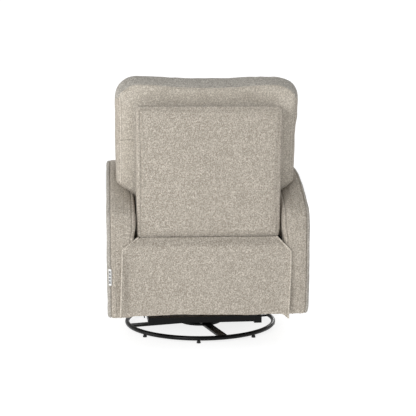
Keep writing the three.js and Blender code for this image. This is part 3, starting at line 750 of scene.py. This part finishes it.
def flap_point(u, v):
    """u runs from the left edge to the right, v from the seam down to the hem."""
    top = 0.433 - 0.002 * u
    hem = 0.133 + 0.005 * math.sin(math.pi * min(1, u * 1.35)) - 0.002 * u
    hem -= 0.016 * smooth_step(u, 0.955, 1.0)
    z = top + (hem - top) * v
    edges = [np.interp(-z, [-p[0] for p in side], [p[1] for p in side]) for side in (flap_left, flap_right)]
    x = edges[0] + (edges[1] - edges[0]) * u
    # It leaves the seam forward of the arms' backs and comes out over them at once.
    y = 0.3815 + 0.0230 * smooth_step(v, 0, 0.12)
    # The left edge curls out, with a soft crease beside it. The right edge stands off.
    hang = smooth_step(v, 0.12, 0.45) * (1 - 0.6 * smooth_step(v, 0.70, 1.0))
    y += 0.0175 * bump_at(u, 0.008, 0.024) * hang - 0.0028 * bump_at(u, 0.054, 0.014) * hang
    y += 0.0050 * smooth_step(u, 0.95, 1.0) * smooth_step(v, 0.15, 0.6)
    y += 0.0020 * math.sin(9 * u + 2.0) * v + 0.0012 * math.sin(23 * u + 3 * v) * v * v
    y += 0.0012 * bump_at(v, 0.965, 0.012)
    return (x, y, z)


grid = [(i / FLAP_ACROSS, j / FLAP_DOWN) for j in range(FLAP_DOWN + 1) for i in range(FLAP_ACROSS + 1)]
quads = [(j * (FLAP_ACROSS + 1) + i, j * (FLAP_ACROSS + 1) + i + 1,
          (j + 1) * (FLAP_ACROSS + 1) + i + 1, (j + 1) * (FLAP_ACROSS + 1) + i)
         for j in range(FLAP_DOWN) for i in range(FLAP_ACROSS)]
rear_flap = piece_from("rear_flap_cloth", [flap_point(u, v) for u, v in grid], quads, oatmeal)
cloth_up = rear_flap.data.polygons[0].normal.y > 0
thick = rear_flap.modifiers.new("two_layers", "SOLIDIFY")
thick.thickness = 0.0045
thick.offset = -1 if cloth_up else 1
thick.use_rim = True
soften(rear_flap)


def finished(piece):
    """Bake a piece's modifiers into its mesh."""
    mesh = bpy.data.meshes.new_from_object(piece.evaluated_get(bpy.context.evaluated_depsgraph_get()))
    piece.modifiers.clear()
    piece.data = mesh
    return piece


def tube(name, path, radius, cloth, sides=8):
    """A closed-ended round strip along a path, as one mesh."""
    path = np.array(path, float)
    ahead = np.gradient(path, axis=0)
    ahead /= np.linalg.norm(ahead, axis=1)[:, None]
    side = np.cross(ahead, (0.15, 1.0, 0.1))
    side /= np.linalg.norm(side, axis=1)[:, None]
    up = np.cross(side, ahead)
    turn = np.linspace(0, 2 * math.pi, sides, endpoint=False)
    rings = [p + radius * (math.cos(t) * a + math.sin(t) * b)
             for p, a, b in zip(path, side, up) for t in turn]
    faces = []
    for r in range(len(path) - 1):
        here, there = r * sides, (r + 1) * sides
        faces += [(here + k, here + (k + 1) % sides, there + (k + 1) % sides, there + k)
                  for k in range(sides)]
    faces += [tuple(range(sides)), tuple(range((len(path) - 1) * sides, len(path) * sides))]
    return piece_from(name, rings, faces, cloth)


crumple(rear_flap, 0.0008, 0.05, 23)
finished(rear_flap)
crumple(rear_flap, 0.0008, 0.05, 23)
crumple(rear_flap, 0.0004, 0.02, 61)

# The turned edge, sewn down: a thin roll along both sides and the two sloping corners.
down = [j / 90 for j in range(91)]
# The rolls are in the lighter copy of the cloth: a painted highlight along the turned edge.
edge_rolls = [
    tube("rear_flap_edge_left", [flap_point(0.004, v) for v in down], 0.0036, oatmeal_painted_light),
    tube("rear_flap_edge_right", [flap_point(0.996, v) for v in down], 0.0034, oatmeal_painted_light),
]
for roll in edge_rolls:
    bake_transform(roll)

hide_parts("rear_flap")
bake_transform(rear_flap)

# ---- Tuck on the left wing ------------------------------------------------------------
# The shell's cloth is pieced at the left wing: one short level seam whose lips stand up
# a little. It is a thin roll of the same cloth.

tuck_path = []
for k in range(25):
    across = 0.277 + 0.055 * k / 24
    tuck_path.append((across, shell_rear(0.795) + 0.0008, 0.795 + 0.0012 * math.sin(k / 5)))
wing_tuck = tube("wing_tuck", tuck_path, 0.0018, oatmeal)
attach(wing_tuck, "back")

# ---- Floor base -----------------------------------------------------------------------
# A ring of bent steel tube with a cross of flat bar welded in, all in satin black powder
# coat. The coat has a fine orange peel, and is dusty and a little scuffed.


def fine_grain_group():
    sizes = {"Grain": 900.0, "Scuff Scale": 14.0, "Stretch": 1.0}
    tree, given, result = group_with("fine_grain", sizes, ("Scuff", "Height"))
    link = tree.links.new
    place = new_node(tree, "ShaderNodeTexCoord")
    # Stretch draws the grain out along X, as brushing or rolling does.
    lengths = new_node(tree, "ShaderNodeCombineXYZ", {
        "Y": 1.0, "Z": 1.0, "X": given.outputs["Stretch"],
    })
    drawn = new_node(tree, "ShaderNodeVectorMath", {
        0: place.outputs["Object"], 1: lengths.outputs["Vector"],
    }, operation="MULTIPLY")
    peel = new_node(tree, "ShaderNodeTexNoise", {
        "Detail": 2.0, "Vector": drawn.outputs["Vector"], "Scale": given.outputs["Grain"],
    })
    link(peel.outputs["Fac"], result.inputs["Height"])
    rubbed = new_node(tree, "ShaderNodeTexNoise", {
        "Detail": 6.0, "Roughness": 0.7, "Vector": place.outputs["Object"],
        "Scale": given.outputs["Scuff Scale"],
    })
    mask = new_node(tree, "ShaderNodeMapRange", {
        "From Min": 0.45, "From Max": 0.75, "Value": rubbed.outputs["Fac"],
    })
    link(mask.outputs["Result"], result.inputs["Scuff"])
    return tree


fine_grain = fine_grain_group()


def hard(name, colour, scuffed, rough, metal=0.0, grain=900.0, stretch=1.0):
    """A hard finish: two tones and two roughnesses mixed by scuffing, with a fine grain."""
    finish, tree, shader = material(name)
    shader.inputs["Metallic"].default_value = metal
    surface = new_node(tree, "ShaderNodeGroup", {"Grain": grain, "Stretch": stretch}, node_tree=fine_grain)
    scuff = surface.outputs["Scuff"]
    tones = two_tones(tree, scuff, colour, scuffed)
    shine = new_node(tree, "ShaderNodeMapRange", {"To Min": rough[0], "To Max": rough[1], "Value": scuff})
    tree.links.new(shine.outputs["Result"], shader.inputs["Roughness"])
    coat(tree, shader, tones, surface.outputs["Height"], Strength=0.5, Distance=0.00012)
    return finish


def dress(finish, *names):
    """Give carried-over parts their finish."""
    for name in names:
        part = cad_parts[name]
        for holder in part.material_slots:
            holder.material = finish


black_steel = hard("black_powder_coat", (0.0016, 0.0016, 0.0018), (0.006, 0.006, 0.006), (0.30, 0.48))
black_steel.node_tree.nodes["Principled BSDF"].inputs["Specular IOR Level"].default_value = 0.18
dress(black_steel, "base_spokes", "swivel_pedestal")

RING_RADIUS, RING_TUBE, RING_Z = 0.308, 0.009, 0.0185
ring_steps, tube_steps = 144, 20
ring_points = []
for i in range(ring_steps):
    round_ring = 2 * math.pi * i / ring_steps
    for k in range(tube_steps):
        round_tube = 2 * math.pi * k / tube_steps
        reach = RING_RADIUS + RING_TUBE * math.cos(round_tube)
        ring_points.append((reach * math.cos(round_ring), reach * math.sin(round_ring),
                            RING_Z + RING_TUBE * math.sin(round_tube)))
ring_faces = []
for i in range(ring_steps):
    for k in range(tube_steps):
        i2, k2 = (i + 1) % ring_steps, (k + 1) % tube_steps
        here, there = i * tube_steps, i2 * tube_steps
        ring_faces.append((here + k, there + k, there + k2, here + k2))
base_ring = piece_from("base_ring_tube", ring_points, ring_faces, black_steel)
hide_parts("base_ring")
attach(base_ring, "base")

# ---- Feet -----------------------------------------------------------------------------
# Eight rubber feet under the ring, each a low pad with a narrower neck. They repeat at
# even angles round the ring.

rubber = hard("black_rubber", (0.010, 0.010, 0.010), (0.030, 0.029, 0.028), (0.75, 0.92), grain=500.0)


def tree_with(name, sizes):
    """An empty Geometry Nodes tree with named size inputs; also gives its two ends."""
    tree = bpy.data.node_groups.new(name, "GeometryNodeTree")
    tree.interface.new_socket("Geometry", in_out="INPUT", socket_type="NodeSocketGeometry")
    tree.interface.new_socket("Geometry", in_out="OUTPUT", socket_type="NodeSocketGeometry")
    for size in sizes:
        tree.interface.new_socket(size, in_out="INPUT", socket_type="NodeSocketFloat")
    return tree, new_node(tree, "NodeGroupInput"), new_node(tree, "NodeGroupOutput")


def close_tree(tree, result, instances, finish):
    """Every tree ends by making its copies real and giving them their finish."""
    real = new_node(tree, "GeometryNodeRealizeInstances")
    coated = new_node(tree, "GeometryNodeSetMaterial", {"Material": finish})
    tree.links.new(instances, real.inputs["Geometry"])
    tree.links.new(real.outputs["Geometry"], coated.inputs["Geometry"])
    tree.links.new(coated.outputs["Geometry"], result.inputs["Geometry"])


def grown(name, start, tree, sizes):
    """Run a tree on a starting mesh with the given sizes, and keep the plain mesh."""
    seed = bpy.data.objects.new(name, start)
    bpy.context.collection.objects.link(seed)
    growth = seed.modifiers.new("growth", "NODES")
    growth.node_group = tree
    for item in tree.interface.items_tree:
        if item.in_out == "INPUT" and item.name in sizes:
            growth[item.identifier] = sizes[item.name]
    return finished(seed)


def feet_tree(finish):
    tree, given, result = tree_with(
        "ring_feet", ("Ring Radius", "First Angle", "Pad Radius", "Pad Height", "Neck Radius"))
    link = tree.links.new
    spots = new_node(tree, "GeometryNodeMeshCircle", {
        "Vertices": 8, "Radius": given.outputs["Ring Radius"],
    })
    angle = new_node(tree, "ShaderNodeCombineXYZ", {"Z": given.outputs["First Angle"]})
    turned = new_node(tree, "GeometryNodeTransform", {
        "Geometry": spots.outputs["Mesh"], "Rotation": angle.outputs["Vector"],
    })
    brim = new_node(tree, "ShaderNodeMath", {0: given.outputs["Pad Radius"], 1: 0.93}, operation="MULTIPLY")
    pad = new_node(tree, "GeometryNodeMeshCone", {
        "Vertices": 24, "Radius Bottom": given.outputs["Pad Radius"],
        "Radius Top": brim.outputs["Value"], "Depth": given.outputs["Pad Height"],
    })
    neck = new_node(tree, "GeometryNodeMeshCone", {
        "Vertices": 20, "Depth": 0.0036, "Radius Bottom": given.outputs["Neck Radius"],
        "Radius Top": given.outputs["Neck Radius"],
    })
    rise = new_node(tree, "ShaderNodeCombineXYZ", {"Z": given.outputs["Pad Height"]})
    lift = new_node(tree, "GeometryNodeTransform", {
        "Geometry": neck.outputs["Mesh"], "Translation": rise.outputs["Vector"],
    })
    foot = new_node(tree, "GeometryNodeJoinGeometry")
    link(pad.outputs["Mesh"], foot.inputs["Geometry"])
    link(lift.outputs["Geometry"], foot.inputs["Geometry"])
    copies = new_node(tree, "GeometryNodeInstanceOnPoints", {
        "Points": turned.outputs["Geometry"], "Instance": foot.outputs["Geometry"],
    })
    close_tree(tree, result, copies.outputs["Instances"], finish)
    return tree


floor_feet = grown("floor_feet", bpy.data.meshes.new("floor_feet_start"), feet_tree(rubber), {
    "Ring Radius": 0.308, "First Angle": math.radians(38.6), "Pad Radius": 0.0083,
    "Pad Height": 0.0062, "Neck Radius": 0.0060,
})
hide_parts(*[f"floor_foot_{i}" for i in range(1, 9)])
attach(floor_feet, "base")

# ---- Swivel, turntable and glide ------------------------------------------------------
# A bearing under a steel turntable, two rails with posts, and four zinc-plated links that
# the carriage hangs from. The plating is bright, with a faint brushed grain.

zinc = hard(
    "zinc_plate", (0.46, 0.47, 0.48), (0.60, 0.60, 0.58), (0.28, 0.46), metal=1.0, grain=260.0, stretch=0.12)
dress(black_steel, "turntable_plate", "glide_rail_left", "glide_rail_right", "glide_stretcher_front",
      "glide_stretcher_rear", "carriage_rail_left", "carriage_rail_right", "carriage_crossmember_rear")
dress(zinc, "bearing_race", "swivel_nut",
      *[f"glide_link_{e}_{s}" for e in ("front", "rear") for s in ("left", "right")])

# ---- Seat frame, springs and boards ---------------------------------------------------
# Black steel side plates and rails, a deck of zigzag springs, and the plywood boards that
# stiffen the arms and the footrest.

dress(black_steel, "seat_frame", "back_frame")
dress(zinc, "seat_springs")


def plywood_boards():
    wood, tree, shader = material("plywood")
    shader.inputs["Roughness"].default_value = 0.68
    place = new_node(tree, "ShaderNodeTexCoord")
    drawn = new_node(tree, "ShaderNodeMapping", {
        "Scale": (14.0, 14.0, 1.6), "Vector": place.outputs["Object"],
    })
    rings = new_node(tree, "ShaderNodeTexNoise", {
        "Scale": 3.0, "Detail": 8.0, "Distortion": 0.6, "Vector": drawn.outputs["Vector"],
    })
    tones = two_tones(tree, rings.outputs["Fac"], (0.36, 0.22, 0.11), (0.62, 0.44, 0.26), 0.35, 0.68)
    coat(tree, shader, tones, rings.outputs["Fac"], Distance=0.0003)
    return wood


dress(plywood_boards(), "arm_board_left", "arm_board_right", "footrest_board")

# ---- Motors and footrest linkage ------------------------------------------------------
# Two linear motors in black moulded housings, with plated rods, and the folding bars that
# push the footrest out.

black_plastic = hard(
    "black_housing", (0.020, 0.020, 0.021), (0.036, 0.036, 0.036), (0.42, 0.60), grain=1200.0)
dress(black_plastic, "recline_motor", "footrest_motor")
dress(zinc, "recline_rod", "footrest_rod", "footrest_lift_arms",
      *[f"footrest_{bar}_{s}" for bar in ("cross_bar", "top_bar", "front_bar", "tilt_link")
        for s in ("left", "right")])

# ---- Control plate --------------------------------------------------------------------
# A pale moulded strip let into the rear outer corner of the sitter's left arm, with four
# grey push buttons.

pale_plastic = hard("pale_moulding", (0.80, 0.80, 0.79), (0.72, 0.72, 0.71), (0.34, 0.50), grain=1400.0)
grey_plastic = hard("grey_buttons", (0.17, 0.175, 0.18), (0.24, 0.245, 0.25), (0.40, 0.55), grain=1400.0)
dress(pale_plastic, "control_plate")
dress(grey_plastic, *[f"control_button_{i}" for i in range(1, 5)])

# ---- Bolts ----------------------------------------------------------------------------
# Zinc hexagon heads on washers, where the bars and rails are bolted. They stand on points
# that carry the way each bolt faces.


def bolt_tree(finish):
    tree, given, result = tree_with("hexagon_bolts", ("Head Radius", "Head Height"))
    link = tree.links.new
    head = new_node(tree, "GeometryNodeMeshCylinder", {
        "Vertices": 6, "Radius": given.outputs["Head Radius"],
        "Depth": given.outputs["Head Height"],
    })
    broad = new_node(tree, "ShaderNodeMath", {0: given.outputs["Head Radius"], 1: 1.45}, operation="MULTIPLY")
    washer = new_node(tree, "GeometryNodeMeshCylinder", {
        "Vertices": 18, "Depth": 0.0024, "Radius": broad.outputs["Value"],
    })
    bolt = new_node(tree, "GeometryNodeJoinGeometry")
    link(head.outputs["Mesh"], bolt.inputs["Geometry"])
    link(washer.outputs["Mesh"], bolt.inputs["Geometry"])
    faces = new_node(tree, "GeometryNodeInputNamedAttribute", {
        "Name": "faces",
    }, data_type="FLOAT_VECTOR")
    aim = new_node(tree, "FunctionNodeAlignRotationToVector", {
        "Vector": faces.outputs["Attribute"],
    }, axis="Z")
    copies = new_node(tree, "GeometryNodeInstanceOnPoints", {
        "Points": given.outputs["Geometry"], "Instance": bolt.outputs["Geometry"],
        "Rotation": aim.outputs["Rotation"],
    })
    close_tree(tree, result, copies.outputs["Instances"], finish)
    return tree


hexagon_bolts = bolt_tree(zinc)


def bolted(body, places):
    start = bpy.data.meshes.new(f"bolts_{body}_start")
    start.from_pydata([at for at, _ in places], [], [])
    way = start.attributes.new("faces", "FLOAT_VECTOR", "POINT")
    way.data.foreach_set("vector", np.array([v for _, v in places], float).ravel())
    bolts = grown(f"bolts_{body}", start, hexagon_bolts, {"Head Radius": 0.0055, "Head Height": 0.008})
    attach(bolts, body)


sixth = [math.radians(60 * k + 28) for k in range(6)]
bolted("base", [((0.073 * math.cos(t), 0.073 * math.sin(t), 0.0225), (0, 0, 1)) for t in sixth])
bolted("turntable", [((x, y, 0.0545), (0, 0, 1)) for x in (-0.170, 0.170) for y in (-0.055, 0.055)])
bolted("carriage", [((s * 0.2425, y, z), (-s, 0, 0))
                    for s in (-1, 1) for y in (-0.080, 0.080) for z in (0.130, 0.172)])

# ---- Topstitching ---------------------------------------------------------------------
# Thick thread in the cloth's own colour, in rows beside the seams. Each row is a line
# along the finished cloth, and the stitches follow it at an even pitch.

thread = boucle("stitch_thread", (0.46, 0.42, 0.36), (0.66, 0.61, 0.54), 0.05)


def stitch_tree(finish):
    tree, given, result = tree_with("topstitch", ("Pitch", "Stitch Length", "Thread Radius"))
    line = new_node(tree, "GeometryNodeMeshToCurve", {"Mesh": given.outputs["Geometry"]})
    spots = new_node(tree, "GeometryNodeCurveToPoints", {
        "Curve": line.outputs["Curve"], "Length": given.outputs["Pitch"],
    }, mode="LENGTH")
    stitch = new_node(tree, "GeometryNodeMeshCylinder", {
        "Vertices": 6, "Radius": given.outputs["Thread Radius"],
        "Depth": given.outputs["Stitch Length"],
    })
    aim = new_node(tree, "FunctionNodeAlignRotationToVector", {
        "Vector": spots.outputs["Tangent"],
    }, axis="Z")
    copies = new_node(tree, "GeometryNodeInstanceOnPoints", {
        "Points": spots.outputs["Points"], "Instance": stitch.outputs["Mesh"],
        "Rotation": aim.outputs["Rotation"],
    })
    close_tree(tree, result, copies.outputs["Instances"], finish)
    return tree


topstitch = stitch_tree(thread)
for body in ("carriage", "back", "footrest"):
    points, edges = [], []
    for owner, line in seam_lines:
        if owner != body:
            continue
        first, count = len(points), len(line)
        points += [tuple(p) for p in line]
        edges += [(first + k, first + (k + 1) % count) for k in range(count)]
    rows = bpy.data.meshes.new(f"stitches_{body}_start")
    rows.from_pydata(points, edges, [])
    stitches = grown(f"stitches_{body}", rows, topstitch,
                     {"Pitch": 0.0085, "Stitch Length": 0.0060, "Thread Radius": 0.0011})
    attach(stitches, body)

# ---- Final update ---------------------------------------------------------------------

bpy.context.view_layer.update()
